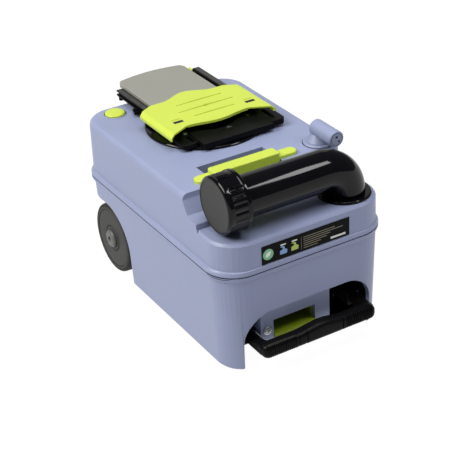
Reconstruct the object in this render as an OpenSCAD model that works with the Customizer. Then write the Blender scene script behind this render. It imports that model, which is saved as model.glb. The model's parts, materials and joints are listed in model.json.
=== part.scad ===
// Wheeled waste-holding tank with a sliding inlet cover, a swinging spout and a pull handle.
// Origin: centre of the underside. +X is across the tank, -Y is the handle end, +Z is up.

/* [Tank] */
// Width of the tank over its welded seam
tank_w = 290; // [284:1:296]
// Length of the tank over its welded seam
tank_l = 445; // [440:1:450]
// Height of the welded seam above the floor
seam_z = 162; // [158:1:166]
// Height of the main top face
top_z = 254; // [250:1:258]
// Wall thickness of both tank halves
wall = 3; // [2.5:0.5:3.5]

/* [Wheels] */
// Radius of a wheel
wheel_r = 58; // [56:1:60]
// Width of a wheel at its tread
wheel_w = 30; // [28:1:30]
// Radius of a stub axle
axle_r = 6; // [5:0.5:7]

/* [Pull handle] */
// Height of the handle bar's underside
bar_z = 33; // [32:1:35]
// Height of the handle bar
bar_h = 23; // [22:1:25]
// Side of the square handle arms
arm = 14; // [12:1:15]

/* [Spout] */
// Outside radius of the spout tube
spout_r = 31.2; // [30:0.1:32]
// Outside radius of the screw cap
cap_r = 43; // [42:0.5:44]
// Height of the spout's horizontal axis
spout_z = 261; // [260:0.5:263]

/* [Inlet] */
// Radius of the inlet throat
throat_r = 52; // [48:1:53]
// Radius of the mechanism's base disc
disc_r = 94; // [90:1:96]

/* [Hidden] */
$fn = 64;
fit = 0.05;                         // radial clearance of a running fit
gap = 0.4;                          // clearance between pieces that pass each other
eps = 0.2;

body_w = tank_w - 10;               // width of the walls next to the seam
body_l = tank_l - 4;
corner_r = 45;
deck_z = 214;                       // low deck under the spout
step_y = -108;                      // wall between the deck and the main top
ledge_y = -146;                     // front of the ledge at the cap's end of the deck

arch_y = 153;                       // wheel axis
arch_r = wheel_r + 7;
arch_x = 97;                        // inner face of a wheel recess
arch_front = arch_y - arch_r;
wheel_x = arch_x + 7;               // inner face of a wheel
hub_recess = 22;                    // depth of the hub, measured from the inner face

cavity_w = 220;                     // handle recess in the front
cavity_top = 91;
cavity_r = 45;
cavity_back = -130;

arm_x = 92;                         // centre of a handle arm
arm_z = 45;
guide = arm + 7;                    // outside of a guide
guide_front = -200;
guide_back = 80;
bar_front = -252;
bar_half = 98;

spout_x = 92.5;                     // vertical spout axis
spout_y = -176;
spout_wall = 2.6;
collar_r = 40.5;
collar_top = deck_z + 4;
bend_z = collar_top + 1.2;
bend_r = spout_z - bend_z;
spout_end = -115;                   // open end of the spout tube
cap_end = -125;                     // closed end of the cap
thread_r = spout_r + 3.8;

inlet_x = 6;                        // centre of the inlet and its mechanism
inlet_y = 73;
base_top = top_z + 4;
neck_r = 68;
neck_z = top_z - 21;
blade_z = neck_z - 7;
blade_r = 58;
pivot_y = inlet_y + 70;
pivot_r = 10;
// Rails, measured from the inlet's centre line: inner and outer face, height behind the cover.
rail_l = [-60.5, -72, top_z + 19];
rail_r = [63.5, 76, top_z + 25];
rail_z = top_z + 9.5;               // underside of both rails
rail_top = top_z + 25;
rail_front = 38;
rail_back = 240;
groove_z = rail_z + 3;              // groove that the cover's lips run in
plate_z = rail_top - 8;             // underside of the rear plate
plate_half = 60;
cover_top = rail_top + 3.4;
cover_half = 92;
lever_angle = 164;

grip_x = -20;                       // upper carry grip
grip_y = -88;
button_x = -92;
button_y = 189;
vent_x = 112;
vent_y = -84;
vent_z = 276;

float_y = 60;
float_z = 16;

blue = [0.58, 0.62, 0.78];
lime = [0.84, 0.93, 0.36];
black = [0.07, 0.07, 0.09];
grey = [0.64, 0.65, 0.63];
dark = [0.24, 0.24, 0.25];
steel = [0.75, 0.76, 0.78];
rubber = [0.10, 0.10, 0.10];

// ---------------------------------------------------------------- shared shapes

module plan(w, l, r) {
    square([w - 2 * r, l], center = true);
    square([w, l - 2 * r], center = true);
    for (sx = [-1, 1], sy = [-1, 1])
        translate([sx * (w / 2 - r), sy * (l / 2 - r)]) circle(r);
}

// One thin layer of a hulled block.
module slab(z, w, l, r, y = 0) {
    translate([0, y, z]) linear_extrude(eps) plan(w, l, r, $fn = 40);
}

// A moulded block: straight walls, then a quarter-round edge of radius f at the top.
module moulded(z0, z1, w0, w1, l0, l1, r, f, y = 0) {
    hull() {
        slab(z0, w0, l0, r, y);
        for (a = [0 : 30 : 90])
            slab(z1 - eps - f * (1 - sin(a)), w1 - 2 * f * (1 - cos(a)), l1 - 2 * f * (1 - cos(a)),
                 max(r - f * (1 - cos(a)), 2), y);
    }
}

module tube(r_out, r_in, h) {
    difference() {
        cylinder(r = r_out, h = h);
        translate([0, 0, -1]) cylinder(r = r_in, h = h + 2);
    }
}

module along_x() { rotate([0, 90, 0]) children(); }
module along_y() { rotate([-90, 0, 0]) children(); }

module at_side(side) {
    if (side > 0) children();
    else mirror([1, 0, 0]) children();
}

module box(x, y, z) {
    translate([x[0], y[0], z[0]]) cube([x[1] - x[0], y[1] - y[0], z[1] - z[0]]);
}

// ---------------------------------------------------------------- tank halves

module cavity_outline(half, top, r) {
    translate([-half, -1]) square([2 * half, top - r + 1]);
    translate([-half + r, -1]) square([2 * (half - r), top + 1]);
    for (s = [-1, 1]) translate([s * (half - r), top - r]) circle(r);
}

// Front recess for the pull handle, grown by g.
module cavity(g = 0) {
    half = cavity_w / 2 + g;
    r = cavity_r + g;
    top = cavity_top + g;
    translate([0, cavity_back + g, 0]) rotate([90, 0, 0]) linear_extrude(-cavity_back + 120 + g) {
        cavity_outline(half, top, r);
    }
}

// Channel under the tank for one handle arm, grown by g.
module arm_channel(side, g = 0) {
    at_side(side)
        box([arm_x - guide / 2 - g, arm_x + guide / 2 + g], [cavity_back - 2, guide_back + 1 + g],
            [-1, arm_z + guide / 2 + g]);
}

// Wheel recess, grown by g.
module wheel_recess(side, g = 0) {
    at_side(side) translate([arch_x - g, 0, 0]) rotate([90, 0, 90]) linear_extrude(80) {
        translate([arch_y, wheel_r]) circle(arch_r + g);
        translate([arch_front - g, -1]) square([arch_y - arch_front + g, wheel_r + 1]);
        translate([arch_y, -1]) square([tank_l, wheel_r + arch_r + g + 1]);
    }
}

module recesses(g = 0) {
    cavity(g);
    for (side = [-1, 1]) {
        arm_channel(side, g);
        wheel_recess(side, g);
    }
}

module axle_boss(side) {
    at_side(side) translate([arch_x - 26, arch_y, wheel_r]) along_x() cylinder(r = 15, h = 32.5);
}

module lower_tank() {
    color(blue) difference() {
        union() {
            difference() {
                union() {
                    hull() {
                        slab(0, body_w - 22, body_l - 12, corner_r - 6);
                        slab(5, body_w - 12, body_l - 2, corner_r);
                        slab(seam_z - eps, body_w, body_l, corner_r);
                    }
                    hull() {
                        slab(seam_z - 10.6, body_w - 4, body_l - 4, corner_r - 2);
                        slab(seam_z - 6, tank_w - 1, tank_l - 1, corner_r + 4);
                        slab(seam_z - 2, tank_w, tank_l, corner_r + 4);
                        slab(seam_z - eps, tank_w - 2, tank_l - 1.4, corner_r + 4);
                    }
                }
                recesses();
                difference() {
                    hull() {
                        slab(wall, body_w - 22 - wall, body_l - 12 - wall, corner_r - 8);
                        slab(seam_z + 1, body_w - 2 * wall, body_l - 2 * wall, corner_r - wall);
                    }
                    recesses(wall);
                }
            }
            for (side = [-1, 1]) axle_boss(side);
        }
        for (side = [-1, 1])
            at_side(side) translate([arch_x - 22, arch_y, wheel_r]) along_x() cylinder(r = axle_r, h = 40);
    }
}

// Finger recess of the upper carry grip, grown by g.
module finger_recess(g = 0) {
    box([grip_x - 60 - g, grip_x + 54 + g], [step_y - 6, -48 + g], [top_z - 26 - g, top_z + 20]);
}

// Everything above the low front deck, grown downwards and backwards by g. The wall behind it has
// rounded ends, and the deck's rim is rounded where it meets the sides and the front.
module deck_cut(g = 0) {
    translate([0, 0, deck_z - g]) linear_extrude(80) difference() {
        translate([-tank_w, -tank_l]) square([2 * tank_w, tank_l + step_y + 40]);
        translate([0, step_y + 80 + g]) plan(body_w - 1 + 2 * g, 160, 20);
    }
}

// Sloped foot of that wall at the cap's end, with a low ledge in front of it.
module ledge() {
    translate([-tank_w, 0, 0]) rotate([90, 0, 90]) linear_extrude(tank_w - 84) polygon([
        [step_y + 24, top_z + 1], [step_y - 1, top_z + 1], [step_y - 2, top_z - 8], [step_y - 14, deck_z + 13],
        [step_y - 17, deck_z + 11], [ledge_y + 2, deck_z + 9.5], [ledge_y, deck_z + 8],
        [ledge_y - 2, deck_z - 4], [step_y + 24, deck_z - 4]]);
}

module deck_rim() {
    difference() {
        union() {
            box([-tank_w, 1], [-tank_l, ledge_y - 3], [deck_z - 9, deck_z + 1]);
            box([0, tank_w], [-tank_l, step_y - 2], [deck_z - 9, deck_z + 1]);
        }
        hull() {
            slab(deck_z - 12, body_w + 8, body_l + 8, corner_r + 3);
            slab(deck_z - 4.6, body_w - 0.6, body_l + 0.6, corner_r);
            slab(deck_z - 1.6, body_w - 5, body_l - 4, corner_r - 2);
            slab(deck_z, body_w - 11, body_l - 10, corner_r - 5);
            slab(deck_z + 2, body_w - 11, body_l - 10, corner_r - 5);
        }
    }
}

module upper_tank() {
    color(blue) difference() {
        union() {
            moulded(seam_z, top_z, body_w, body_w - 2, body_l, body_l, corner_r, 9);
            hull() {
                slab(seam_z, tank_w - 2, tank_l - 1.4, corner_r + 4);
                slab(seam_z + 1.6, tank_w, tank_l, corner_r + 4);
                slab(seam_z + 4, tank_w, tank_l, corner_r + 4);
                slab(seam_z + 7.4, tank_w - 5, tank_l - 1.6, corner_r + 2);
                slab(seam_z + 9.6, body_w - 4, body_l - 4, corner_r - 2);
            }
        }
        difference() {
            moulded(seam_z - 1, top_z - wall, body_w - 2 * wall, body_w - 2 - 2 * wall,
                    body_l - 2 * wall, body_l - 2 * wall, corner_r - wall, 7);
            finger_recess(wall);
            deck_cut(wall);
        }
        difference() {
            deck_cut();
            ledge();
        }
        deck_rim();
        finger_recess();
        translate([spout_x, spout_y, deck_z - 10]) cylinder(r = thread_r, h = 20);
        translate([inlet_x, inlet_y, top_z - 10]) cylinder(r = neck_r + 4, h = 20);
        translate([inlet_x, pivot_y, top_z - 10]) cylinder(r = pivot_r + 2, h = 20);
        translate([button_x, button_y, top_z - 10]) cylinder(r = 17.5, h = 20);
        translate([vent_x, vent_y, top_z - 10]) cylinder(r = 15, h = 20);
    }
}

module label_plate() {
    color(black) box([-79, 70], [-body_l / 2 - 0.8, -body_l / 2], [seam_z + 9.8, seam_z + 39]);
}

// Thin black lining of the front recess, open at the arm channels and round the grip housing.
module bay_liner() {
    t = 1.2;
    color(black) difference() {
        translate([0, cavity_back - 0.05, 0]) rotate([90, 0, 0]) linear_extrude(77)
            offset(delta = -0.05) cavity_outline(cavity_w / 2, cavity_top, cavity_r);
        translate([0, cavity_back - 0.05 - t, 0]) rotate([90, 0, 0]) linear_extrude(90)
            offset(delta = -t - 0.05) cavity_outline(cavity_w / 2, cavity_top, cavity_r);
        box([-tank_w, tank_w], [-tank_l, 0], [-5, 1]);
        box([-80.2, 40.2], [-212.2, 0], [36.8, 100]);
        for (side = [-1, 1]) at_side(side)
            box([arm_x - guide / 2 - 1, arm_x + guide / 2 + 1], [cavity_back - 4, 0],
                [-5, arm_z + guide / 2 + 1]);
    }
}

// ---------------------------------------------------------------- lower grip

module grip_housing() {
    color(blue) difference() {
        translate([0, -212, 0]) rotate([-90, 0, 0]) linear_extrude(cavity_back + 212) mirror([0, 1])
            intersection() {
                cavity_outline(cavity_w / 2, cavity_top, cavity_r);
                union() {
                    translate([-66, 51]) circle(14);
                    translate([-80, 51]) square([120, cavity_top - 50]);
                    translate([-66, 37]) square([106, 20]);
                }
            }
        box([-58, 14], [-213, -166], [38.5, 68]);
        translate([-69, -212, 54]) along_y() translate([0, 0, -1]) cylinder(r = 2, h = 14);
    }
}

module lower_grip() {
    color(lime) difference() {
        union() {
            box([-58, 14], [-212, -166], [38.5, 68]);
            box([-58, 14], [-216, -211], [38.5, 44]);
        }
        box([-55, 11], [-213, -169], [44, 64]);
        box([-59, 15], [-213, -205], [44, 69]);
    }
}

module housing_screw() {
    color(steel) translate([-69, -212, 54]) along_y() difference() {
        union() {
            translate([0, 0, -1.6]) cylinder(r = 6.8, h = 1.6);
            translate([0, 0, -0.4]) cylinder(r = 2, h = 12);
        }
        translate([-4.5, -0.8, -2]) cube([9, 1.6, 1]);
        translate([-0.8, -4.5, -2]) cube([1.6, 9, 1]);
    }
}

// ---------------------------------------------------------------- upper grip

module upper_grip() {
    color(lime) difference() {
        union() {
            box([grip_x - 58, grip_x + 52], [grip_y - 11, grip_y + 10], [top_z - 6, top_z + 12]);
            box([grip_x - 86, grip_x + 86], [grip_y - 12, grip_y + 8], [top_z, top_z + 5]);
            for (s = [-1, 1]) translate([grip_x + s * 72, grip_y - 2, top_z])
                linear_extrude(6) plan(28, 22, 6);
        }
        box([grip_x - 52, grip_x + 46], [grip_y - 6, grip_y + 5], [top_z - 7, top_z + 8.5]);
    }
}

// ---------------------------------------------------------------- wheels

module axle(side) {
    color(steel) at_side(side) translate([arch_x - 22, arch_y, wheel_r]) along_x()
        cylinder(r = axle_r, h = wheel_x - arch_x + 22 + hub_recess + 5);
}

module axle_clip(side) {
    color(steel) at_side(side) translate([wheel_x + hub_recess + 0.3, arch_y, wheel_r]) along_x()
        tube(10, axle_r, 2);
}

module wheel(side) {
    color(dark) at_side(side) translate([wheel_x, arch_y, wheel_r]) along_x() rotate_extrude() polygon([
        [axle_r + fit, 0], [16, 0], [16, 20], [50, 22], [53, 3], [56, 0.5],
        [57.2, 1.5], [wheel_r, 5], [wheel_r, wheel_w - 6], [57, wheel_w - 2], [54, wheel_w],
        [48, wheel_w], [46.5, wheel_w - 2.5], [45, wheel_w - 1], [23, wheel_w - 2.5],
        [21.5, wheel_w - 4], [20, wheel_w - 0.5], [17, wheel_w],
        [12, wheel_w], [12, hub_recess], [axle_r + fit, hub_recess]]);
}

module hub_cap(side) {
    color(dark) at_side(side) translate([wheel_x, arch_y, wheel_r]) along_x() rotate_extrude() polygon([
        [0, hub_recess + 5.6], [12, hub_recess + 5.6], [12, wheel_w],
        [15, wheel_w], [14, wheel_w + 4], [10, wheel_w + 5.6], [4.6, wheel_w + 6],
        [4.2, wheel_w + 2], [0, wheel_w + 2]]);
}

// ---------------------------------------------------------------- pull handle

module handle_guide(side) {
    color(black) at_side(side) difference() {
        box([arm_x - guide / 2, arm_x + guide / 2], [guide_front, guide_back],
            [arm_z - guide / 2, arm_z + guide / 2]);
        box([arm_x - arm / 2 - gap, arm_x + arm / 2 + gap], [guide_front - 1, guide_back + 1],
            [arm_z - arm / 2 - gap, arm_z + arm / 2 + gap]);
        box([arm_x - guide / 2 + 1.8, arm_x + guide / 2 - 1.8], [guide_front + 10, guide_back + 1],
            [arm_z - guide / 2 + 1.8, arm_z + guide / 2 - 1.8]);
    }
}

module pull_handle() {
    rib = 5.2;
    color(black) difference() {
        union() {
            intersection() {
                translate([0, bar_front + 11, bar_z]) linear_extrude(bar_h + 6) union() {
                    plan(2 * bar_half, 22, 9);
                    translate([0, 4]) square([2 * bar_half + 4, 14], center = true);
                }
                translate([0, bar_front - 1, 0]) rotate([-90, 0, 0]) linear_extrude(40) mirror([0, 1]) {
                    translate([0, bar_z + bar_h / 2]) plan(2 * bar_half + 4, bar_h, 8);
                    polygon(concat([[40, bar_z + 5], [-40, bar_z + 5]], [for (x = [-40 : 4 : 40])
                        [x, bar_z + bar_h + 2.4 * (1 + cos(180 * x / 40)) - 0.01]]));
                }
            }
            for (side = [-1, 1])
                at_side(side) box([arm_x - arm / 2, arm_x + arm / 2], [bar_front + 12, guide_back - 4],
                                  [arm_z - arm / 2, arm_z + arm / 2]);
        }
        for (side = [-1, 1], i = [0 : 9])
            translate([side * (44 + rib * i), bar_front - 0.6, bar_z - 1]) cylinder(r = 1.5, h = bar_h + 2);
        translate([0, bar_front + 22, bar_z + bar_h / 2]) rotate([0, 90, 0])
            translate([0, 0, -36]) cylinder(r = 6, h = 72);
    }
}

module handle_stops() {
    side_l = guide - 4.4;
    color(dark) for (side = [-1, 1]) at_side(side) difference() {
        box([arm_x - side_l / 2, arm_x + side_l / 2], [guide_back - 18, guide_back - 4],
            [arm_z - side_l / 2, arm_z + side_l / 2]);
        box([arm_x - arm / 2, arm_x + arm / 2], [guide_back - 19, guide_back - 3],
            [arm_z - arm / 2, arm_z + arm / 2]);
    }
}

// ---------------------------------------------------------------- spout

module spout_collar() {
    color(black) translate([spout_x, spout_y, 0]) difference() {
        union() {
            translate([0, 0, deck_z - 8]) cylinder(r = thread_r, h = 9);
            translate([0, 0, deck_z]) rotate_extrude() polygon([
                [0, 0], [collar_r, 0], [collar_r, 2.4], [collar_r - 1.6, 4], [0, 4]]);
        }
        translate([0, 0, deck_z - 20]) cylinder(r = spout_r + fit, h = 40);
        translate([0, 0, deck_z - 4]) cylinder(r = spout_r + 2.2, h = 3);
    }
}

module spout_seal() {
    color(rubber) translate([spout_x, spout_y, deck_z - 4]) tube(spout_r + 2.2, spout_r + gap, 3);
}

// The bent tube's solid path at radius r: vertical stub, elbow and horizontal run.
module spout_path(r, over = 0) {
    translate([spout_x, spout_y, deck_z - 17 - over]) cylinder(r = r, h = bend_z - deck_z + 17 + over);
    translate([spout_x - bend_r, spout_y, bend_z]) rotate([90, 0, 0]) rotate_extrude(angle = 90)
        translate([bend_r, 0]) circle(r);
    translate([spout_end - over, spout_y, spout_z]) along_x()
        cylinder(r = r, h = spout_x - bend_r - spout_end + over);
}

module spout() {
    color(black) difference() {
        union() {
            spout_path(spout_r);
            translate([spout_end + 3, spout_y, spout_z]) along_x() cylinder(r = thread_r, h = 3);
            translate([spout_end + 9, spout_y, spout_z]) along_x() cylinder(r = thread_r, h = 3);
            translate([spout_end + 15, spout_y, spout_z]) along_x() cylinder(r = thread_r, h = 6);
        }
        spout_path(spout_r - spout_wall, 1);
    }
}

module spout_ring() {
    color(black) translate([spout_x, spout_y, deck_z - 14]) tube(thread_r, spout_r, 5.5);
}

module spout_cap() {
    color(black) translate([0, spout_y, spout_z]) difference() {
        union() {
            translate([cap_end, 0, 0]) along_x() rotate_extrude() polygon([
                [0, 0], [cap_r - 2.5, 0], [cap_r, 2.5], [cap_r, 31], [cap_r + 0.9, 32],
                [cap_r + 0.9, 36.4], [cap_r - 0.4, 37], [0, 37]]);
            box([cap_end + 3, cap_end + 22], [-9, 9], [cap_r - 3, cap_r + 2.4]);
        }
        translate([cap_end - 1, 0, 0]) along_x() cylinder(r = cap_r - 4, h = 2.6);
        translate([cap_end + 6, 0, 0]) along_x() cylinder(r = thread_r + gap, h = 40);
        for (a = [35 : 14.5 : 325]) rotate([a, 0, 0])
            translate([cap_end + 8, 0, cap_r + 0.3]) along_x() cylinder(r = 1.2, h = 22);
    }
}

module cap_disc() {
    color(grey) translate([cap_end + 0.6, spout_y, spout_z]) along_x() cylinder(r = cap_r - 4, h = 1);
}

module cap_gasket() {
    color(rubber) translate([cap_end + 6, spout_y, spout_z]) along_x()
        tube(thread_r + gap, throat_r / 2, 3.4);
}

// ---------------------------------------------------------------- inlet mechanism

module at_inlet(z) { translate([inlet_x, inlet_y, z]) children(); }

module mechanism_base() {
    color(black) difference() {
        union() {
            at_inlet(top_z) rotate_extrude() polygon([
                [0, 0], [disc_r, 0], [disc_r, 2.6], [disc_r - 1.4, 4], [0, 4]]);
            at_inlet(neck_z) cylinder(r = neck_r, h = top_z - neck_z + 1);
            translate([inlet_x, pivot_y, neck_z + 4]) cylinder(r = pivot_r, h = top_z - neck_z - 3);
        }
        at_inlet(neck_z - 1) cylinder(r = throat_r, h = 30);
        at_inlet(neck_z - 1) cylinder(r = throat_r + 7, h = 3);
        translate([inlet_x, pivot_y, neck_z - 1]) cylinder(r = 5 + fit, h = 30);
        for (p = frame_screws()) translate([p[0], p[1], top_z + 1]) cylinder(r = 1.6, h = 9);
    }
}

module inlet_gasket() {
    color(rubber) difference() {
        at_inlet(top_z - 4) tube(neck_r + 4, neck_r, 4);
        translate([inlet_x, pivot_y, top_z - 5]) cylinder(r = pivot_r + 2, h = 6);
    }
}

module lip_seal() {
    color(rubber) at_inlet(neck_z) rotate_extrude() polygon([
        [throat_r, -0.6], [throat_r + 7, -0.6], [throat_r + 7, 2], [throat_r, 2]]);
}

function frame_screws() = [[inlet_x - 56, 36], [inlet_x + 56, 36],
                           [inlet_x - 65, 108], [inlet_x + 69, 108]];

module lug(x, y, z, slot_x) {
    difference() {
        translate([(x[0] + x[1]) / 2, (y[0] + y[1]) / 2, z[0]]) linear_extrude(z[1] - z[0])
            plan(x[1] - x[0], y[1] - y[0], 8);
        translate([slot_x, (y[0] + y[1]) / 2 + 1, z[0] + 3]) linear_extrude(20) plan(6, 34, 2.9);
    }
}

module mechanism_frame() {
    color(black) translate([inlet_x, 0, 0]) difference() {
        union() {
            box([rail_l[1], rail_l[0]], [rail_front, rail_back - 8], [rail_z, rail_l[2]]);
            box([rail_l[1], rail_l[0]], [rail_front, 112], [rail_z + 1, rail_top]);
            box([rail_r[0], rail_r[1]], [rail_front, rail_back - 18], [rail_z, rail_r[2]]);
            box([plate_half, rail_r[0] + 1], [122, rail_back - 20], [rail_z + 0.5, plate_z - 0.5]);
            difference() {
                box([-52, 71], [-15, 34], [base_top + 1, top_z + 14]);
                translate([0, inlet_y, 0]) cylinder(r = throat_r, h = 400);
                box([-48, 67], [-11, 16], [base_top, top_z + 11]);
            }
            box([-50, 69], [-8, 10], [base_top, base_top + 2]);
            lug([-79, -49], [0, 46], [base_top + 1, top_z + 12], -58);
            lug([62, 97], [-8, 46], [base_top + 1, top_z + 14], 82);
            box([-62, 62], [162, 174], [rail_z + 1, plate_z]);
            box([-62, 62], [204, 216], [rail_z + 1, plate_z]);
            translate([-67, 226, rail_z - 7]) cylinder(r = 4, h = 8);
            for (p = frame_screws())
                translate([p[0] - inlet_x, p[1], base_top]) cylinder(r = 7.5, h = top_z + 12 - base_top);
        }
        box([rail_l[1] - 1, rail_l[1] + 4], [rail_front - 1, rail_back + 1], [groove_z, groove_z + 4]);
        box([rail_r[1] - 4, rail_r[1] + 1], [rail_front - 1, rail_back + 1], [groove_z, groove_z + 4]);
        for (p = frame_screws()) translate([p[0] - inlet_x, p[1], 0]) {
            translate([0, 0, base_top - 1]) cylinder(r = 1.6, h = 40);
            translate([0, 0, top_z + 12]) cylinder(r = 3.4, h = 20);
        }
    }
}

module mechanism_screws() {
    color(steel) for (p = frame_screws()) translate([p[0], p[1], 0]) {
        translate([0, 0, top_z + 1]) cylinder(r = 1.6, h = 12);
        translate([0, 0, top_z + 12]) cylinder(r = 3.2, h = 1.6);
    }
}

// Rear edge of the plate bulges by 9 mm at its middle.
module rear_plate() {
    bulge = [for (i = [0 : 16]) let (x = plate_half * (1 - i / 8))
        [x, rail_back + 9 + 9 * (1 - pow(x / plate_half, 2))]];
    color(grey) translate([inlet_x, 0, plate_z]) linear_extrude(7)
        polygon(concat([[-plate_half, 122], [plate_half, 122]], bulge));
}

// Front and rear edges of the cover, as a distance along the tank at x.
function cover_front(x) = abs(x) < 54 ? 27 - 4 * cos(180 * x / 54) : 31 - (abs(x) - 54) / 2;
function cover_rear(x) = abs(x) < 46 ? 135 + 8 * cos(180 * x / 46)
    : abs(x) < 66 ? 127 : 127 - (abs(x) - 66) * 0.58;

module cover_section() {
    low = cover_top - 10;
    difference() {
        polygon([[-cover_half, low], [-cover_half, cover_top - 5], [-cover_half + 7, cover_top],
                 [cover_half - 7, cover_top], [cover_half, cover_top - 5], [cover_half, low]]);
        polygon([[-cover_half + 3, low - 1], [-cover_half + 3, cover_top - 6],
                 [-cover_half + 8, cover_top - 3], [cover_half - 8, cover_top - 3],
                 [cover_half - 3, cover_top - 6], [cover_half - 3, low - 1]]);
    }
}

module sliding_cover() {
    steps = [for (i = [0 : 36]) cover_half * (i / 18 - 1)];
    lip = groove_z + 0.8;
    color(lime) translate([inlet_x, 0, 0]) {
        difference() {
            intersection() {
                translate([0, 170, 0]) rotate([90, 0, 0]) linear_extrude(180) cover_section();
                linear_extrude(400) polygon(concat(
                    [for (x = steps) [x, cover_front(x)]], [for (x = steps) [-x, cover_rear(x)]]));
            }
            box([-33, 47], [101.5, 103], [cover_top - 0.8, cover_top + 1]);
            box([-42, 54], [77.5, 79], [cover_top - 0.8, cover_top + 1]);
            box([-28, 42], [53.5, 55], [cover_top - 0.8, cover_top + 1]);
            for (x = [-59, 68]) box([x - 8, x + 8], [47, 51.5], [cover_top - 10, cover_top + 1]);
        }
        box([rail_l[1] - 3.4, rail_l[1] - gap], [54, 104], [lip, cover_top - 1]);
        box([rail_l[1] - 3.4, rail_l[1] + 3], [54, 104], [lip, lip + 2.4]);
        box([rail_r[1] + gap, rail_r[1] + 3.4], [54, 104], [lip, cover_top - 1]);
        box([rail_r[1] - 3, rail_r[1] + 3.4], [54, 104], [lip, lip + 2.4]);
    }
}

module valve_blade() {
    color(black) difference() {
        union() {
            at_inlet(blade_z) cylinder(r = blade_r, h = 5.6);
            translate([inlet_x - 9, inlet_y, blade_z]) cube([18, pivot_y - inlet_y, 5.6]);
            translate([inlet_x, pivot_y, blade_z]) cylinder(r = 12, h = 5.6);
        }
        translate([inlet_x, pivot_y, blade_z - 1]) cylinder(r = 5, h = 20);
    }
}

module blade_shaft() {
    color(steel) translate([inlet_x, pivot_y, blade_z]) cylinder(r = 5, h = base_top - blade_z + 5);
}

module blade_lever() {
    color(black) translate([inlet_x, pivot_y, base_top + 0.4]) rotate([0, 0, lever_angle]) difference() {
        union() {
            cylinder(r = 9, h = 4.2);
            translate([0, -5, 0]) cube([70, 10, 4.2]);
            box([62, 80], [-8, 8], [0, 4.2]);
        }
        translate([0, 0, -1]) cylinder(r = 5, h = 20);
    }
}

// ---------------------------------------------------------------- vent elbow

module vent_base() {
    color(blue) translate([vent_x, vent_y, 0]) difference() {
        union() {
            translate([0, 0, top_z]) rotate_extrude() polygon([
                [0, 0], [24.5, 0], [24.5, 1.6], [23, 3], [0, 3]]);
            translate([0, 0, top_z - 10]) cylinder(r = 15, h = 11);
        }
        translate([0, 0, top_z - 20]) cylinder(r = 11 + fit, h = 40);
        translate([0, 0, top_z - 7]) cylinder(r = 13, h = 3);
    }
}

module vent_gasket() {
    color(rubber) translate([vent_x, vent_y, top_z - 7]) tube(13, 11 + gap, 3);
}

module vent_elbow() {
    color(blue) translate([vent_x, vent_y, 0]) difference() {
        union() {
            translate([0, 0, top_z - 9]) cylinder(r = 11, h = vent_z - top_z + 9);
            translate([0, 0, top_z + 3 + gap]) cylinder(r1 = 19.5, r2 = 12.2, h = vent_z - top_z - 10);
            translate([0, -47, vent_z]) along_y() rotate_extrude() polygon([
                [0, 0], [11.5, 0], [12.7, 1.2], [12.7, 53.8], [11.5, 55], [0, 55]]);
        }
        translate([0, 0, top_z - 10]) cylinder(r = 7.5, h = vent_z - top_z + 6);
        translate([0, -48, vent_z + 3]) along_y() cylinder(r = 2, h = 8);
        translate([4, -48, vent_z - 4]) along_y() cylinder(r = 1.2, h = 8);
    }
}

module vent_screw() {
    color(steel) translate([vent_x + 4, vent_y - 47, vent_z - 4]) along_y() union() {
        translate([0, 0, -0.8]) cylinder(r = 2, h = 0.8);
        cylinder(r = 1.2, h = 6);
    }
}

// ---------------------------------------------------------------- air-release button

module button_housing() {
    color(dark) translate([button_x, button_y, 0]) difference() {
        union() {
            translate([0, 0, top_z]) cylinder(r = 19, h = 1);
            translate([0, 0, top_z - 14]) cylinder(r = 17.5, h = 14.5);
        }
        translate([0, 0, top_z - 12]) cylinder(r = 16.4, h = 20);
        translate([0, 0, top_z - 15]) cylinder(r = 3.5 + gap, h = 10);
    }
}

module vent_button() {
    color(lime) translate([button_x, button_y, 0]) {
        translate([0, 0, top_z - 4]) rotate_extrude() polygon([
            [0, 0], [16, 0], [16, 6], [15, 7.4], [12, 8.2], [0, 8.6]]);
        translate([0, 0, top_z - 17.4]) cylinder(r = 3.5, h = 14);
    }
}

// Coils of the return spring, drawn as closed rings.
module button_spring() {
    turns = 4;
    color(steel) for (i = [0 : turns - 1])
        translate([button_x, button_y, top_z - 12 + 1 + i * 2])
            rotate_extrude() translate([8.5, 0]) circle(1);
}

module button_valve() {
    color(rubber) translate([button_x, button_y, top_z - 17.4]) tube(11, 3.5, 3);
}

// ---------------------------------------------------------------- level float

module float_bracket() {
    color(black) difference() {
        union() {
            box([-13, 13], [float_y - 8, float_y + 10], [wall, wall + 2]);
            for (s = [-1, 1]) box([s * 11 - 2, s * 11 + 2], [float_y - 6, float_y + 6], [wall, float_z + 6]);
        }
        translate([-20, float_y, float_z]) along_x() cylinder(r = 2, h = 40);
    }
}

module float_pin() {
    color(steel) translate([-14, float_y, float_z]) along_x() cylinder(r = 2, h = 28);
}

module level_float() {
    color(lime) difference() {
        union() {
            translate([-8, float_y, float_z]) along_x() cylinder(r = 5, h = 16);
            box([-3, 3], [float_y - 62, float_y], [float_z - 3, float_z + 3]);
            translate([0, float_y - 72, float_z - 10]) cylinder(r = 16, h = 20);
        }
        translate([-20, float_y, float_z]) along_x() cylinder(r = 2 + fit, h = 40);
    }
}

// ---------------------------------------------------------------- the assembly

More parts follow.
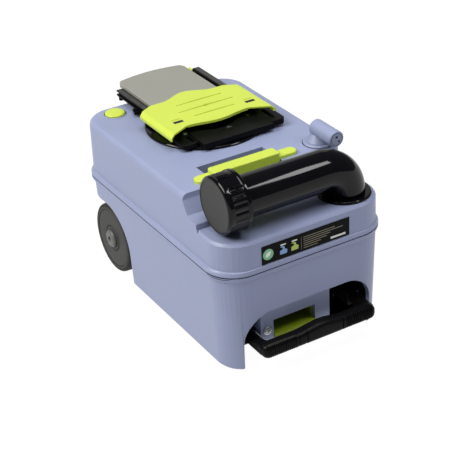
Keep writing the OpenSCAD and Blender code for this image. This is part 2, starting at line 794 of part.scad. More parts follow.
lower_tank();
upper_tank();
label_plate();
bay_liner();
grip_housing();
lower_grip();
housing_screw();
upper_grip();
axle(-1);  // left_axle
axle(1);  // right_axle
axle_clip(-1);  // left_axle_clip
axle_clip(1);  // right_axle_clip
wheel(-1);  // left_wheel
wheel(1);  // right_wheel
hub_cap(-1);  // left_hub_cap
hub_cap(1);  // right_hub_cap
handle_guide(-1);  // left_handle_guide
handle_guide(1);  // right_handle_guide
pull_handle();
handle_stops();
spout_collar();
spout_seal();
spout();
spout_ring();
spout_cap();
cap_disc();
cap_gasket();
mechanism_base();
inlet_gasket();
lip_seal();
mechanism_frame();
mechanism_screws();
rear_plate();
sliding_cover();
valve_blade();
blade_shaft();
blade_lever();
vent_base();
vent_gasket();
vent_elbow();
vent_screw();
button_housing();
vent_button();
button_spring();
button_valve();
float_bracket();
float_pin();
level_float();
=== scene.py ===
"""Looks of a wheeled waste-holding tank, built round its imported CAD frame. Lengths are in metres."""

import json
import math

import bmesh
import bpy
from mathutils import Matrix, Vector


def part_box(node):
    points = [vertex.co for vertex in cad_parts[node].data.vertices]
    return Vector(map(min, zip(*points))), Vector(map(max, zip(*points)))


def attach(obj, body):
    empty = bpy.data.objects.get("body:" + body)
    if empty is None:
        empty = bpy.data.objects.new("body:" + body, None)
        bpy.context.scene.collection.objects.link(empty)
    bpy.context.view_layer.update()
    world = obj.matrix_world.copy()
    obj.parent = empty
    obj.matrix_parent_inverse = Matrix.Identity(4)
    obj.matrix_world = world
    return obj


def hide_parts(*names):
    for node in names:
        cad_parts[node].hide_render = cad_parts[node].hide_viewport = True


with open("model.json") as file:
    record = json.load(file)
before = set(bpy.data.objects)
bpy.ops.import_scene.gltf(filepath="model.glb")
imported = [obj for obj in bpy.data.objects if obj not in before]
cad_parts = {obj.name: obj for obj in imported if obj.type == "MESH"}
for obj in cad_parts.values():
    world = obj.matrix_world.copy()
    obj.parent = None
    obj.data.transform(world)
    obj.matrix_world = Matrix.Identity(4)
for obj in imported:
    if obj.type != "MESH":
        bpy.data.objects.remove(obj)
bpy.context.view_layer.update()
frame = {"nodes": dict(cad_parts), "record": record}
MM = 0.001

# Heights and places that pieces share, in millimetres.
TOP_Z = 254.0
INLET_X = 6.0
COVER_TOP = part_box("sliding_cover")[1].z / MM
LEFT_RAIL_TOP = 273.0
RIGHT_RAIL_TOP = 278.6
SKIN = 0.05             # how far a thin print or outline stands off the surface behind it

# The camera stands off the tank's front left corner.
CAMERA_AT = Vector((-0.9214, -1.6170, 1.1653))
CAMERA_AZIMUTH = math.radians(30.8)
CAMERA_ELEVATION = math.radians(30.0)
CAMERA_ROLL = math.radians(-2.5)
CAMERA_LENS = 104.85
CAMERA_SHIFT = (-0.0413, -0.0030)

# ------------------------------------------------------------------ materials


def srgb(red, green, blue):
    """A screen colour, 0 to 255, as a linear colour."""
    def linear(value):
        value /= 255
        return value / 12.92 if value <= 0.04045 else ((value + 0.055) / 1.055) ** 2.4
    return (linear(red), linear(green), linear(blue), 1.0)


def new_material(name):
    material = bpy.data.materials.new(name)
    material.use_nodes = True
    nodes = material.node_tree.nodes
    shader = nodes["Principled BSDF"]
    return material, nodes, material.node_tree.links, shader


def plastic(name, colour, roughness=0.4, grain=0.03, grain_size=2600, tint=0.06, shine=0.5, painted_glow=None):
    """Moulded plastic: faint cloudy tint, fine spark-eroded grain and patchy gloss.

    A glow given here is a constant emitted colour: painted light that lifts the shaded faces of a
    fluorescent colour.
    """
    material, nodes, links, shader = new_material(name)
    place = nodes.new("ShaderNodeTexCoord")
    cloud = nodes.new("ShaderNodeTexNoise")
    cloud.inputs["Scale"].default_value = 14
    cloud.inputs["Detail"].default_value = 5
    shade = nodes.new("ShaderNodeValToRGB")
    dark = [c * (1 - tint) for c in colour[:3]] + [1]
    light = [min(c * (1 + tint), 1) for c in colour[:3]] + [1]
    shade.color_ramp.elements[0].position = 0.3
    shade.color_ramp.elements[1].position = 0.7
    shade.color_ramp.elements[0].color = dark
    shade.color_ramp.elements[1].color = light
    gloss = nodes.new("ShaderNodeMapRange")
    gloss.inputs["From Min"].default_value = 0.3
    gloss.inputs["From Max"].default_value = 0.7
    spread = min(0.06, roughness / 3)
    gloss.inputs["To Min"].default_value = roughness - spread
    gloss.inputs["To Max"].default_value = roughness + spread
    fine = nodes.new("ShaderNodeTexNoise")
    fine.inputs["Scale"].default_value = grain_size
    fine.inputs["Detail"].default_value = 2
    bump = nodes.new("ShaderNodeBump")
    bump.inputs["Strength"].default_value = grain
    bump.inputs["Distance"].default_value = 0.0003
    links.new(place.outputs["Object"], cloud.inputs["Vector"])
    links.new(place.outputs["Object"], fine.inputs["Vector"])
    links.new(cloud.outputs["Fac"], shade.inputs["Fac"])
    links.new(cloud.outputs["Fac"], gloss.inputs["Value"])
    links.new(shade.outputs["Color"], shader.inputs["Base Color"])
    links.new(gloss.outputs["Result"], shader.inputs["Roughness"])
    links.new(fine.outputs["Fac"], bump.inputs["Height"])
    links.new(bump.outputs["Normal"], shader.inputs["Normal"])
    shader.inputs["IOR"].default_value = 1.48
    shader.inputs["Specular IOR Level"].default_value = shine
    if painted_glow:
        shader.inputs["Emission Color"].default_value = (*painted_glow, 1)
        shader.inputs["Emission Strength"].default_value = 1.0
    return material


def metal(name, colour, roughness=0.28):
    """Zinc-plated steel with fine drawn lines."""
    material, nodes, links, shader = new_material(name)
    place = nodes.new("ShaderNodeTexCoord")
    stretch = nodes.new("ShaderNodeMapping")
    stretch.inputs["Scale"].default_value = (3000, 60, 3000)
    lines = nodes.new("ShaderNodeTexNoise")
    lines.inputs["Scale"].default_value = 1
    gloss = nodes.new("ShaderNodeMapRange")
    gloss.inputs["To Min"].default_value = roughness - 0.1
    gloss.inputs["To Max"].default_value = roughness + 0.15
    links.new(place.outputs["Object"], stretch.inputs["Vector"])
    links.new(stretch.outputs["Vector"], lines.inputs["Vector"])
    links.new(lines.outputs["Fac"], gloss.inputs["Value"])
    links.new(gloss.outputs["Result"], shader.inputs["Roughness"])
    shader.inputs["Base Color"].default_value = colour
    shader.inputs["Metallic"].default_value = 1.0
    return material


MATERIALS = {
    "tank_blue": plastic("tank_blue", srgb(126, 134, 166), 0.44, grain=0.05, tint=0.03),
    # The lime's constant glow is painted light that lifts its shaded faces.
    "lime": plastic("lime", srgb(168, 180, 70), 0.40, grain=0.04, tint=0.02, painted_glow=(0.05, 0.09, 0.0)),
    "black_gloss": plastic("black_gloss", srgb(7, 7, 11), 0.07, grain=0.0, tint=0.2, shine=0.23),
    "black_satin": plastic("black_satin", srgb(10, 10, 12), 0.34, grain=0.06, tint=0.15, shine=0.08),
    "grey_plastic": plastic("grey_plastic", srgb(127, 128, 123), 0.5, grain=0.05, tint=0.03),
    "wheel_plastic": plastic("wheel_plastic", srgb(54, 54, 55), 0.55, grain=0.12, tint=0.1, shine=0.2),
    "steel": metal("steel", srgb(190, 192, 196)),
    "rubber": plastic("rubber", srgb(22, 22, 22), 0.75, grain=0.15, tint=0.15),
    "label_film": plastic("label_film", srgb(7, 9, 9), 0.3, grain=0.0, tint=0.1, shine=0.06),
}
# A darker lime: painted shade in the sliding cover's grooves and behind its slots.
LIME_GROOVE_SHADE = plastic("lime_groove_shade", srgb(136, 150, 26), 0.5, grain=0.02, tint=0.03, shine=0.3)
# A darker copy of the lime: painted shade for the lower grip deep in its recess.
LIME_PAINTED_SHADE = plastic("lime_painted_shade", srgb(118, 136, 30), 0.45, grain=0.04, tint=0.03, shine=0.2)
HUB_GREY = plastic("hub_grey", srgb(84, 84, 86), 0.45, grain=0.1, tint=0.06)
# A dark grey: painted highlight on the black rails' tops and ribs, also used for the front block's arrow and
# the vent plug.
GREY_HIGHLIGHT_AND_PLUG = plastic("grey_highlight_and_plug", srgb(52, 52, 53), 0.4, grain=0.08, tint=0.12, shine=0.3)
# A near-black blue: painted shade in the gaps of the seam and the vent.
GAP_PAINTED_SHADE = plastic("gap_painted_shade", srgb(16, 17, 30), 0.8, grain=0.02, tint=0.1, shine=0.05)

# ------------------------------------------------------------------ CAD nodes


def soften(piece, width, sharp=32.0, segments=2):
    """Rounds a piece's edges with modifiers only, and shades its curved faces smooth."""
    for face in piece.data.polygons:
        face.use_smooth = True
    weld = piece.modifiers.new("weld", "WELD")
    weld.merge_threshold = 0.00002
    if not width:
        piece.modifiers.new("hard_edges", "EDGE_SPLIT").split_angle = math.radians(sharp)
    else:
        bevel = piece.modifiers.new("soft_edges", "BEVEL")
        bevel.width = width
        bevel.segments = segments
        bevel.limit_method = "ANGLE"
        bevel.angle_limit = math.radians(sharp)
        bevel.use_clamp_overlap = False
        bevel.harden_normals = True
    normals = piece.modifiers.new("normals", "WEIGHTED_NORMAL")
    normals.keep_sharp = True
    normals.weight = 60


# Width of each node's rounded edges, in millimetres. The upper tank's edges are rounded in the CAD.
DEFAULT_EDGE = 0.3
EDGES = {"lower_tank": 1.2, "upper_tank": 0.0, "sliding_cover": 0.5, "upper_grip": 1.0,
         "lower_grip": 0.8, "mechanism_frame": 0.7}
SLOTS = {part["node"]: part["material_slot"] for part in frame["record"]["subparts"]}
for node_name, node_piece in frame["nodes"].items():
    node_piece.data.materials.clear()
    node_piece.data.materials.append(MATERIALS[SLOTS[node_name]])
    soften(node_piece, EDGES.get(node_name, DEFAULT_EDGE) * MM)
# The lower grip takes the darker lime, painted shade for its recess.
frame["nodes"]["lower_grip"].data.materials[0] = LIME_PAINTED_SHADE

# ------------------------------------------------------------------ mesh building, in millimetres


def new_piece(name, points, faces, slot, body, replaces=(), width=0.0, sharp=35.0, look=None):
    mesh = bpy.data.meshes.new(name)
    mesh.from_pydata([Vector(point) * MM for point in points], [], faces)
    mesh.validate()
    shape = bmesh.new()
    shape.from_mesh(mesh)
    bmesh.ops.recalc_face_normals(shape, faces=shape.faces)
    shape.to_mesh(mesh)
    shape.free()
    piece = bpy.data.objects.new(name, mesh)
    bpy.context.scene.collection.objects.link(piece)
    mesh.materials.append(look or MATERIALS[slot])
    soften(piece, width * MM, sharp)
    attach(piece, body)
    if replaces:
        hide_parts(*replaces)
    return piece


class Shape:
    """Points and faces of one piece, gathered from lofts and solids."""

    def __init__(self):
        self.points, self.faces = [], []

    def loft(self, rings, capped=True, closed=False):
        """Joins rings of equal length by quads. closed joins the last ring to the first."""
        start, count = len(self.points), len(rings[0])
        for ring in rings:
            self.points.extend(ring)
        pairs = len(rings) if closed else len(rings) - 1
        for i in range(pairs):
            low, high = start + i * count, start + (i + 1) % len(rings) * count
            for k in range(count):
                after = (k + 1) % count
                self.faces.append((low + k, low + after, high + after, high + k))
        if capped and not closed:
            self.faces.append(tuple(range(start, start + count))[::-1])
            last = start + (len(rings) - 1) * count
            self.faces.append(tuple(range(last, last + count)))
        return self

    def lathe(self, outline, place, count=96):
        """Turns a closed outline of (along, radius) about a line.

        place gives a point from its distance along the line and its two distances across it.
        """
        rings = []
        for along, radius in outline:
            angles = (2 * math.pi * i / count for i in range(count))
            rings.append([place(along, radius * math.cos(a), radius * math.sin(a)) for a in angles])
        return self.loft(rings, closed=True)

    def stack(self, layers):
        """Layers of (height, inset, low, high, radius), each a rounded rectangle seen from above."""
        rings = []
        for z, inset, low, high, radius in layers:
            corners = (low[0] + inset, low[1] + inset), (high[0] - inset, high[1] - inset)
            rings.append([(x, y, z) for x, y in rounded(*corners, max(radius - inset, 0.2))])
        return self.loft(rings)

    def piece(self, name, slot, body, **options):
        return new_piece(name, self.points, self.faces, slot, body, **options)


def rounded(low, high, radius, steps=6):
    """A rounded rectangle as 2-D points, anticlockwise from its right side."""
    points = []
    corners = ((high[0] - radius, high[1] - radius, 0), (low[0] + radius, high[1] - radius, 90),
               (low[0] + radius, low[1] + radius, 180), (high[0] - radius, low[1] + radius, 270))
    for across, up, turn in corners:
        for i in range(steps + 1):
            angle = math.radians(turn + 90 * i / steps)
            points.append((across + radius * math.cos(angle), up + radius * math.sin(angle)))
    return points


def bump(value, half):
    """A smooth hill of height 1 at 0 that falls to 0 at half."""
    return 0.5 * (1 + math.cos(math.pi * value / half)) if abs(value) < half else 0.0


# ------------------------------------------------------------------ pull handle

BAR_LOW, BAR_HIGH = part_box("pull_handle")
BAR_FRONT, BAR_BOTTOM = BAR_LOW.y / MM, BAR_LOW.z / MM
BAR_TOP = 56.0
BAR_HALF = 98.5
BAR_DEPTH = 22.0
CORNER_REACH = 11.0     # length of the bar's rounded end
RIB_START, RIB_END = 44.0, 92.0
RIB_PITCH = 3.6
ARM_CENTRE, ARM_MIDDLE, ARM_HALF = 92.0, 45.0, 7.0


def handle_groove(x):
    """Depth of the finger ribs and of the panel edges in the bar's front at x."""
    across = abs(x)
    if RIB_START < across < RIB_END:
        phase = (across - RIB_START) / RIB_PITCH % 1
        return 1.5 * max(0.0, math.sin(math.pi * phase)) ** 0.6 if phase < 0.62 else 0.0
    if -41 < x < -38 or -27 < x < -24 or 35 < x < 38:
        return 1.3
    return 0.4 if -38 <= x <= -27 else 0.0


def handle_bar():
    shape = Shape()
    rings = []
    x = -BAR_HALF
    while x <= BAR_HALF + 0.01:
        reach = max(0.0, (abs(x) - (BAR_HALF - CORNER_REACH)) / CORNER_REACH)
        inset = 9.5 * (1 - math.sqrt(max(0.0, 1 - reach ** 2)))
        top = BAR_TOP - inset + 4.8 * bump(x - 4, 42)
        front, back = BAR_FRONT + inset, BAR_FRONT + BAR_DEPTH - inset * 0.8
        ring = []
        for y, z in rounded((front, BAR_BOTTOM + inset), (back, top), max(1.6, 8 - inset * 0.6)):
            near = max(0.0, min(1.0, (front + 11 - y) / 5))
            lip = max(0.0, min(1.0, (z - top + 9) / 4)) * max(0.0, min(1.0, (back - 7 - y) / 4))
            cut = handle_groove(x)
            ring.append((x, y + cut * near, z - 0.6 * cut * lip))
        rings.append(ring)
        x += 0.5
    shape.loft(rings)
    arm_start, arm_end = BAR_FRONT + 12, BAR_HIGH.y / MM
    steps = ((arm_start, 0), (arm_end - 1.5, 0), (arm_end - 0.4, 0.5), (arm_end, 1.5))
    for side in (-1, 1):
        rings = []
        for y, shrink in steps:
            half = ARM_HALF - shrink
            outline = rounded((side * ARM_CENTRE - half, ARM_MIDDLE - half),
                              (side * ARM_CENTRE + half, ARM_MIDDLE + half), 2.4)
            rings.append([(across, y, up) for across, up in outline])
        shape.loft(rings)
    shape.piece("handle_grip", "black_satin", "handle_body", replaces=("pull_handle",), sharp=60)


handle_bar()

# ------------------------------------------------------------------ screw cap

CAP_LOW, CAP_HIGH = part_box("spout_cap")
CAP_END, CAP_BACK = CAP_LOW.x / MM, CAP_HIGH.x / MM
CAP_Y = (CAP_LOW.y + CAP_HIGH.y) / 2 / MM
CAP_Z = 261.0
CAP_RADIUS = 43.0
CAP_STEPS = 240
SCALLOP_PITCH = 15.0    # degrees between two finger scallops
TAB_HALF = 11.6         # half the raised tab, in degrees
# The cap's outline: distance behind its face, radius, and how deep its scallops are there, 0 to 1.
CAP_OUTLINE = (
    (1.7, 39.15, 0), (0.5, 39.15, 0), (0.5, 37.1, 0), (0.15, 37.3, 0), (0.0, 37.9, 0), (0.25, 39.3, 0),
    (1.0, 40.9, 0), (2.1, 42.2, 0), (2.9, 42.85, 0), (3.2, 43, 0), (9.0, 43, 0), (9.8, 43, 0.6),
    (10.8, 43, 1), (21.9, 43, 1), (22.2, 43, 1), (29.5, 43, 1), (30.4, 43, 0.5), (31.0, 43, 0),
    (31.6, 43.7, 0), (32.2, 43.9, 0), (36.2, 43.9, 0), (36.8, 43.5, 0), (37, 42.8, 0), (37, 36.6, 0),
    (36.4, 35.6, 0), (6, 35.6, 0))


def cap_shape():
    """A lathed cap with finger scallops round its skirt and one raised tab on top."""
    rings = []
    for depth, radius, groove in CAP_OUTLINE:
        ring = []
        for i in range(CAP_STEPS):
            turn = i * 360 / CAP_STEPS
            angle = math.radians(turn)
            from_top = abs((turn + 90) % 360 - 180)
            reach = radius
            if groove and from_top > 33:
                phase = (from_top - 33) % SCALLOP_PITCH - SCALLOP_PITCH / 2
                reach -= 1.7 * groove * bump(phase, 5.2)
            if 3.1 < depth < 22 and radius >= CAP_RADIUS and from_top < TAB_HALF:
                reach = CAP_RADIUS + 2.2
            ring.append((CAP_END + depth, CAP_Y + reach * math.cos(angle), CAP_Z + reach * math.sin(angle)))
        rings.append(ring)
    Shape().loft(rings).piece("screw_cap", "black_gloss", "cap_body", replaces=("spout_cap",),
                              width=0.25, sharp=50)


cap_shape()

# ------------------------------------------------------------------ wheels

WHEEL_BACK = 104.0      # inner face of a wheel


def wheel(side):
    """A grey disc with a black tyre, black rings that paint the shade in its grooves, and a hub cap with a
    moulded hole whose floor is painted black as shade.
    """
    body = "left_wheel_body" if side < 0 else "right_wheel_body"
    prefix = "left" if side < 0 else "right"
    low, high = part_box(prefix + "_wheel")
    centre_y, centre_z = (low.y + high.y) / 2 / MM, (low.z + high.z) / 2 / MM

    def place(along, across, up):
        return (side * (WHEEL_BACK + along), centre_y + across, centre_z + up)

    disc = [(0, 6.06), (0, 16), (20, 16), (22, 50), (3, 52.4), (1, 53), (29.2, 53), (29.9, 52.2), (30, 51.4),
            (30, 49.8), (29.4, 49.2), (29.2, 47.6), (29.6, 46.9), (29.6, 24), (29.4, 22.8), (28.2, 21.8),
            (28.2, 20.4), (29.3, 19.8), (29.9, 19), (30, 17.6), (30, 12.1), (22, 12.1), (22, 6.06)]
    Shape().lathe(disc, place).piece(prefix + "_wheel_disc", "wheel_plastic", body,
                                     replaces=(prefix + "_wheel",), sharp=50)
    tyre = [(1, 53.05), (0.6, 55.8), (1.5, 57.2), (4, 57.85), (6, 58), (24, 58), (26.4, 57.7), (28.4, 56.9),
            (29.7, 55.4), (30, 54.2), (29.7, 53.3), (29.2, 53.05)]
    Shape().lathe(tyre, place).piece(prefix + "_tyre", "rubber", body, sharp=60)
    # Black rings in the disc's two grooves: painted shade.
    groove = [(28.3, 20.2), (28.5, 20.2), (28.5, 22), (28.3, 22)]
    rim = [(29.3, 47.4), (29.7, 47.6), (30.1, 48.6), (30.1, 49.4), (29.8, 50.2), (29.3, 50.2)]
    rings = Shape().lathe(groove, place).lathe(rim, place)
    rings.piece(prefix + "_wheel_groove_shade", "rubber", body, sharp=40)
    cap = [(27.6, 0.02), (27.6, 11.9), (30.2, 11.9), (30.2, 14.6), (30.8, 15), (32.4, 14.8), (34, 14),
           (35, 12.6), (35.6, 10.4), (35.9, 6.6), (35.7, 5), (35.2, 4.4), (32.2, 4.1), (32, 0.02)]
    Shape().lathe(cap, place).piece(prefix + "_hub_cover", "wheel_plastic", body,
                                    replaces=(prefix + "_hub_cap",), sharp=50, look=HUB_GREY)
    # A black disc on the hole's floor: painted shade in the hole.
    hole = [(32.05, 0.02), (32.5, 0.02), (32.5, 4), (32.05, 4)]
    Shape().lathe(hole, place, 32).piece(prefix + "_hub_hole_shade", "rubber", body)


for wheel_side in (-1, 1):
    wheel(wheel_side)

# ------------------------------------------------------------------ upper carry grip


def carry_grip():
    """A bar with rounded edges on a thinner foot, whose ends are round when seen from above."""
    shape = Shape()
    low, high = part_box("upper_grip")
    left, right = low.x / MM, high.x / MM
    foot = (left, -99.4), (right, -79.6)
    shape.stack([(TOP_Z + SKIN, 0, *foot, 9), (TOP_Z + 3.6, 0, *foot, 9), (TOP_Z + 4.6, 0.4, *foot, 9),
                 (TOP_Z + 5.3, 1.1, *foot, 9), (TOP_Z + 5.6, 2.2, *foot, 9)])
    bar = (left + 27, -100), (right - 33, -78.2)
    top = high.z / MM
    shape.stack([(TOP_Z - 6, 0, *bar, 3.4), (top - 2.2, 0, *bar, 3.4), (top - 1.2, 0.25, *bar, 3.4),
                 (top - 0.5, 0.9, *bar, 3.4), (top - 0.1, 1.9, *bar, 3.4), (top, 3, *bar, 3.4)])
    shape.piece("carry_grip", "lime", "tank", replaces=("upper_grip",), sharp=60)


carry_grip()

# ------------------------------------------------------------------ sliding cover's lines and slots

LIP_DROP = 4.2          # the lip still passes over the rear plate when the cover slides back

def cover_front(across):
    """The cover's front edge: its y at a distance across from the inlet's centre."""
    return 27 - 4 * math.cos(math.pi * across / 54) if abs(across) < 54 else 31 - (abs(across) - 54) / 2


def cover_lines():
    """Darker lime strips that paint the shade in the cover's grooves and behind its two slots, black patches
    that paint the slots' shade, and the front lip of the sliding cover.
    """
    lines = Shape()
    for y, low, high in ((102.2, -34, 48), (78.2, -43, 55), (54.2, -29, 43)):
        front, back = [], []
        for i in range(49):
            across = low + (high - low) * i / 48
            end = min(1.0, 3 * min(i, 48 - i) / 48 + 0.08)
            swell = 1.6 * bump(across - 6, 7) if y == 78.2 else 0.0
            half = 1.6 * end + swell
            front.append((INLET_X + across, y - half))
            back.append((INLET_X + across, y + half))
        outline = front + back[::-1]
        lines.loft([[(x, y, z) for x, y in outline] for z in (COVER_TOP - 0.9, COVER_TOP + 0.04)])
    for across in (-59, 68):
        low, high = (INLET_X + across - 7.6, 57.6), (INLET_X + across + 7.6, 59.4)
        lines.stack([(COVER_TOP - 0.9, 0, low, high, 0.8), (COVER_TOP + 0.04, 0, low, high, 0.8)])
    lines.piece("cover_lines", "lime", "cover_body", look=LIME_GROOVE_SHADE)
    # Black patches over the two slots: painted shade in their openings.
    slots = Shape()
    for across in (-59, 68):
        low, high = (INLET_X + across - 8.2, 45.6), (INLET_X + across + 8.2, 52.8)
        slots.stack([(COVER_TOP - 1.2, 0, low, high, 0.8), (COVER_TOP + 0.05, 0, low, high, 0.8)])
    slots.piece("cover_slot_shade", "rubber", "cover_body")
    lip = Shape()
    rings = []
    for i in range(61):
        across = 56 * (i / 30 - 1)
        x, front, back = INLET_X + across, cover_front(across) - 0.02, cover_front(across) + 2.2
        upper = COVER_TOP - 0.5
        lower = COVER_TOP - LIP_DROP * min(1.0, (56 - abs(across)) / 5 + 0.3)
        rings.append([(x, front, upper), (x, back, upper), (x, back, lower), (x, front, lower)])
    lip.loft(rings).piece("cover_lip", "lime", "cover_body", sharp=40)


cover_lines()

# ------------------------------------------------------------------ rear plate and rails


def rear_plate():
    """The grey plate with a bulged rear edge, round rear corners and softened upper edges."""
    low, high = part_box("rear_plate")
    left, right, front = low.x / MM, high.x / MM, low.y / MM
    middle, half = (left + right) / 2, (right - left) / 2
    bulge, corner, rear = 9.0, 7.0, []
    back = high.y / MM - bulge
    for i in range(41):
        across = 1 - i / 20
        reach = max(0.0, (abs(across) * half - half + corner) / corner)
        pull = corner * (1 - math.sqrt(max(0.0, 1 - reach ** 2)))
        rear.append((middle + half * across, back + bulge * (1 - across ** 2) - pull))
    outline = [(left, front), (right, front)] + rear
    centre = (middle, (front + back) / 2)

    def layer(z, inset):
        return [(x - inset * math.copysign(min(1, abs(x - centre[0]) / 20), x - centre[0]),
                 y - inset * math.copysign(1, y - centre[1]), z) for x, y in outline]

    top = high.z / MM
    rings = [layer(low.z / MM, 0), layer(top - 1.6, 0), layer(top - 0.8, 0.25), layer(top - 0.25, 0.8),
             layer(top, 1.7)]
    Shape().loft(rings).piece("rear_cover", "grey_plastic", "tank", replaces=("rear_plate",), sharp=50)


def rail_caps():
    """Grey tops on the two rails and their ribs, painted highlight where the black rails catch the light,
    the lime latch at the rear and the grey arrow on the front block.
    """
    caps = Shape()
    tops = (((-71.6, 114), (-63.5, 229), LEFT_RAIL_TOP), ((66, 118), (75.6, 219), RIGHT_RAIL_TOP))
    for low, high, z in tops:
        cap = (INLET_X + low[0], low[1]), (INLET_X + high[0], high[1])
        caps.stack([(z - 0.5, 0, *cap, 1.6), (z + 0.3, 0, *cap, 1.6), (z + 0.6, 0.5, *cap, 1.6)])
    for y in (152, 158, 190, 196):
        rib = (INLET_X - 70.2, y), (INLET_X - 64.9, y + 2)
        z = LEFT_RAIL_TOP
        caps.stack([(z, 0, *rib, 0.8), (z + 1, 0, *rib, 0.8), (z + 1.3, 0.4, *rib, 0.8)])
    arrow = [(INLET_X + 3, 12.5), (INLET_X + 14, 12.5), (INLET_X + 8.5, 19.5)]
    caps.loft([[(x, y, z) for x, y in arrow] for z in (267.9, 268.35)])
    caps.piece("rail_caps", "wheel_plastic", "tank", look=GREY_HIGHLIGHT_AND_PLUG)
    latch = (INLET_X + 60.5, 221), (INLET_X + 65.5, 232)
    Shape().stack([(272, 0, *latch, 1.6), (276.6, 0, *latch, 1.6), (277.4, 0.6, *latch, 1.6)]).piece(
        "rail_latch", "lime", "tank")


rear_plate()
rail_caps()

# ------------------------------------------------------------------ handle bay, seam, vent and button


def bay_shade_tray():
    """Black ribbed tray under the handle's recess, below a hand's way in, and black sheets lining each arm's
    channel: painted shade inside the bay.
    """
    shape = Shape()
    floors = (((-108, -152), (110, -131.4)), ((-66, -182), (110, -150)), ((80, -136), (104, -126)),
              ((-104, -136), (-80, -126)))
    for low, high in floors:
        shape.stack([(0.6, 0, low, high, 1), (1.4, 0, low, high, 1), (1.8, 0.4, low, high, 1)])
    for y in range(-178, -134, 6):
        rib = (-64, y), (106, y + 2.4)
        shape.stack([(1.6, 0, *rib, 1), (2.4, 0, *rib, 1), (2.8, 0.4, *rib, 1)])
    for side in (-1, 1):
        channel_shade_lining = [(81.6, 1.2), (102.4, 1.2), (102.4, 34), (101.8, 34), (101.8, 2.2), (82.2, 2.2), (82.2, 34),
                (81.6, 34)]
        shape.loft([[(side * x, y, z) for x, z in channel_shade_lining] for y in (-129.9, 79)])
    shape.piece("bay_shade_tray", "black_satin", "tank")


def seam_line():
    """Dark line in the groove between the two welded tank halves: painted shadow in the gap."""
    rings = []
    for half_width, half_length, z in ((144.5, 222.25, 161.5), (144.5, 222.25, 162.3), (142, 220, 162.3),
                                       (142, 220, 161.5)):
        radius = 49 - (144.5 - half_width)
        rings.append([(x, y, z) for x, y in rounded((-half_width, -half_length), (half_width, half_length),
                                                    radius, 16)])
    Shape().loft(rings, closed=True).piece("seam_line", "tank_blue", "tank", look=GAP_PAINTED_SHADE)


def vent_details():
    """Dark outline round the vent's base and a dark ring on the elbow's end, both painted shade in gaps, and
    the screw's head.
    """
    low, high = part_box("vent_base")
    x, y = (low.x + high.x) / 2 / MM, (low.y + high.y) / 2 / MM

    def upright(along, across, depth):
        return (x + across, y + depth, along)

    outline = [(TOP_Z + SKIN, 24.55), (TOP_Z + 0.35, 24.7), (TOP_Z + 0.35, 25.3), (TOP_Z + SKIN, 25.5)]
    Shape().lathe(outline, upright).piece("vent_outline", "rubber", "tank", look=GAP_PAINTED_SHADE)
    tube_radius = 12.7
    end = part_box("vent_elbow")[0].y / MM
    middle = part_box("vent_elbow")[1].z / MM - tube_radius

    def sideways(along, across, up):
        return (x + across, end + along, middle + up)

    ring = [(-SKIN, 9.2), (-SKIN, 9.8), (0.3, 9.8), (0.3, 9.2)]
    Shape().lathe(ring, sideways).piece("vent_end_ring", "tank_blue", "vent_body", look=GAP_PAINTED_SHADE)
    low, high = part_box("vent_screw")
    x, middle = (low.x + high.x) / 2 / MM, (low.z + high.z) / 2 / MM
    head = [(-0.5, 0.02), (-0.5, 1.2), (-0.2, 1.8), (1, 2), (6, 1.1), (6, 0.02)]
    Shape().lathe(head, sideways, 32).piece("vent_plug", "steel", "vent_body", replaces=("vent_screw",),
                                            look=GREY_HIGHLIGHT_AND_PLUG)


def button_rim():
    """Rounded rim round the air button, and the dark well that the button sinks into."""
    low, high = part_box("button_housing")
    x, y = (low.x + high.x) / 2 / MM, (low.y + high.y) / 2 / MM

    def upright(along, across, depth):
        return (x + across, y + depth, along)

    flange = [(TOP_Z + SKIN, 17.2), (TOP_Z + SKIN, 19), (TOP_Z + 0.45, 18.95), (TOP_Z + 0.85, 18.5),
              (TOP_Z + 1, 17.9), (TOP_Z + 0.9, 17.4)]
    Shape().lathe(flange, upright).piece("button_rim", "tank_blue", "tank", replaces=("button_housing",))
    well = [(TOP_Z - 14, 3.95), (TOP_Z - 14, 17.45), (TOP_Z + 0.6, 17.35), (TOP_Z + 0.5, 16.45),
            (TOP_Z - 12, 16.4), (TOP_Z - 12, 3.95)]
    Shape().lathe(well, upright).piece("button_well", "rubber", "tank")


bay_shade_tray()
seam_line()
vent_details()
button_rim()

# ------------------------------------------------------------------ printed label

LABEL_LOW, LABEL_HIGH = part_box("label_plate")
LABEL_FACE = LABEL_LOW.y / MM
LABEL_MIDDLE = (LABEL_LOW.z + LABEL_HIGH.z) / 2 / MM
PRINT_DEPTH = 0.12


def ink(name, colour):
    return plastic(name, colour, 0.35, grain=0.02, tint=0.08, shine=0.3)


INKS = {"green": ink("print_green", srgb(118, 172, 138)), "pale": ink("print_pale", srgb(214, 220, 214)),
        "sky": ink("print_sky", srgb(120, 150, 196)), "leaf": ink("print_leaf", srgb(158, 178, 88)),
        "dim": ink("print_dim", srgb(112, 108, 92)), "bright": ink("print_bright", srgb(196, 198, 196))}


def printed(name, colour, outlines, depth=1):
    """Flat printed marks: each outline is a list of (x, height above the label's middle)."""
    shape = Shape()
    for outline in outlines:
        near, far = LABEL_FACE - depth * PRINT_DEPTH, LABEL_FACE + SKIN
        shape.loft([[(x, y, LABEL_MIDDLE + z) for x, z in outline] for y in (near, far)])
    shape.piece(name, "label_film", "tank", look=INKS[colour])


def round_mark(x, z, radius, count=40):
    return [(x + radius * math.cos(2 * math.pi * i / count), z + radius * math.sin(2 * math.pi * i / count))
            for i in range(count)]


def tank_mark(x, z):
    """A small pictogram of a tank with its spout."""
    return [(x - 6, z - 7), (x + 5, z - 7), (x + 6, z - 5), (x + 6, z - 1), (x + 2, z + 1), (x + 2, z + 4),
            (x - 1, z + 6), (x - 5, z + 6), (x - 5, z + 4.4), (x - 2, z + 4), (x - 1, z + 1), (x - 6, z - 1)]


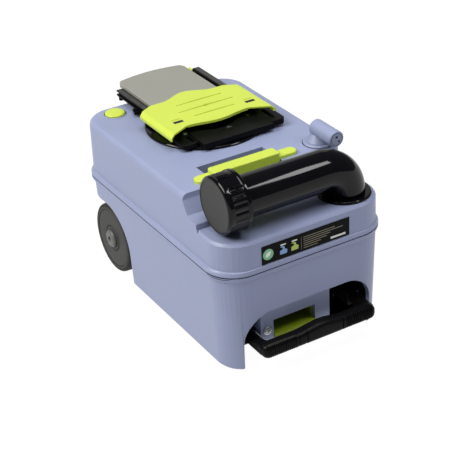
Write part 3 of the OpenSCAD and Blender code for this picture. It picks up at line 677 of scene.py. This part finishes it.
def leaf_mark(x, z):
    return [(x - 4.2, z - 3.4), (x - 1.2, z - 3.8), (x + 2.2, z - 2.2), (x + 3.8, z + 1.2),
            (x + 4.2, z + 4.2), (x + 0.8, z + 3.6), (x - 2.6, z + 1.8), (x - 4.0, z - 0.8)]


def label_print():
    """Generic marks on the label: a leaf disc, two tanks, blank lines and a blank strip."""
    printed("label_disc", "green", [round_mark(-68.5, 0, 8.6)])
    printed("label_leaf", "pale", [leaf_mark(-68.5, 0)], 2)
    printed("label_sky_mark", "sky", [tank_mark(-43, -0.5)])
    printed("label_leaf_mark", "leaf", [tank_mark(-24, -0.5)])
    printed("label_mark_lids", "pale", [rounded((x - 5, 6.6), (x + 4, 8.6), 0.8) for x in (-43, -24)])
    left, half = -9.5, 0.55
    rows = ((7.6, 54), (4.2, 68), (0.8, 46), (-2.6, 40), (-6.0, 30), (-9.6, 24))
    divider = [(-13.4, -11), (-12.9, -11), (-12.9, 9.5), (-13.4, 9.5)]
    bars = [rounded((left, z - half), (left + length, z + half), 0.4, 3) for z, length in rows]
    printed("label_rows", "dim", bars + [divider])
    printed("label_strip", "bright", [rounded((37, -10.8), (63, -7.6), 1.2)])


label_print()

# ------------------------------------------------------------------ camera, floor, light


def place_camera():
    forward = Vector((math.sin(CAMERA_AZIMUTH) * math.cos(CAMERA_ELEVATION),
                      math.cos(CAMERA_AZIMUTH) * math.cos(CAMERA_ELEVATION),
                      -math.sin(CAMERA_ELEVATION)))
    level = forward.cross(Vector((0, 0, 1))).normalized()
    above = level.cross(forward)
    right = level * math.cos(CAMERA_ROLL) + above * math.sin(CAMERA_ROLL)
    up = right.cross(forward)
    lens = bpy.data.cameras.new("camera")
    lens.lens = CAMERA_LENS
    lens.sensor_width = 36
    lens.shift_x, lens.shift_y = CAMERA_SHIFT
    lens.clip_end = 500
    camera = bpy.data.objects.new("camera", lens)
    bpy.context.scene.collection.objects.link(camera)
    turn = Matrix((right, up, -forward)).transposed().to_4x4()
    camera.matrix_world = Matrix.Translation(CAMERA_AT) @ turn
    bpy.context.scene.camera = camera


def area_light(name, at, aim, size, power, colour=(1, 1, 1), turn=0):
    lamp = bpy.data.lights.new(name, "AREA")
    lamp.shape = "RECTANGLE"
    lamp.size, lamp.size_y = size
    lamp.energy = power
    lamp.color = colour
    holder = bpy.data.objects.new(name, lamp)
    bpy.context.scene.collection.objects.link(holder)
    holder.location = at
    holder.rotation_euler = (Vector(aim) - Vector(at)).to_track_quat("-Z", "Y").to_euler()
    holder.rotation_euler.rotate_axis("Z", math.radians(turn))


FLOOR_SIZE = 300.0
FLOOR_GLOW = 0.975


def floor_paper():
    """Pale studio paper that glows a little, so that it stays pale in the shade."""
    material = plastic("floor_paper", srgb(60, 60, 60), 0.9, grain=0.0, tint=0.005, shine=0.0)
    shader = material.node_tree.nodes["Principled BSDF"]
    shader.inputs["Emission Color"].default_value = (1, 1, 1, 1)
    shader.inputs["Emission Strength"].default_value = FLOOR_GLOW
    return material


def studio():
    bpy.ops.mesh.primitive_plane_add(size=FLOOR_SIZE, location=(0, 0, 0))
    floor = bpy.context.object
    floor.name = "floor"
    floor.data.materials.append(floor_paper())
    world = bpy.data.worlds.new("studio")
    world.use_nodes = True
    world.node_tree.nodes["Background"].inputs["Color"].default_value = (1, 1, 1, 1)
    world.node_tree.nodes["Background"].inputs["Strength"].default_value = 0.12
    bpy.context.scene.world = world
    area_light("key", (-3.0, 0.5, 3.2), (0, 0, 0.1), (2.4, 2.4), 232, (1.0, 0.975, 0.88))
    area_light("overhead", (0.1, -0.45, 3.0), (0.05, -0.1, 0.1), (1.6, 1.6), 58, (1.0, 0.99, 0.95))
    area_light("back", (0.8, 3.2, 1.3), (0, 0, 0.2), (4.0, 2.2), 12)
    area_light("strip", (0.46, -0.56, 1.0), (0.46, -0.56, 0.0), (0.34, 0.2), 3.0, turn=-47)
    bpy.context.scene.view_settings.view_transform = "Standard"


place_camera()
studio()
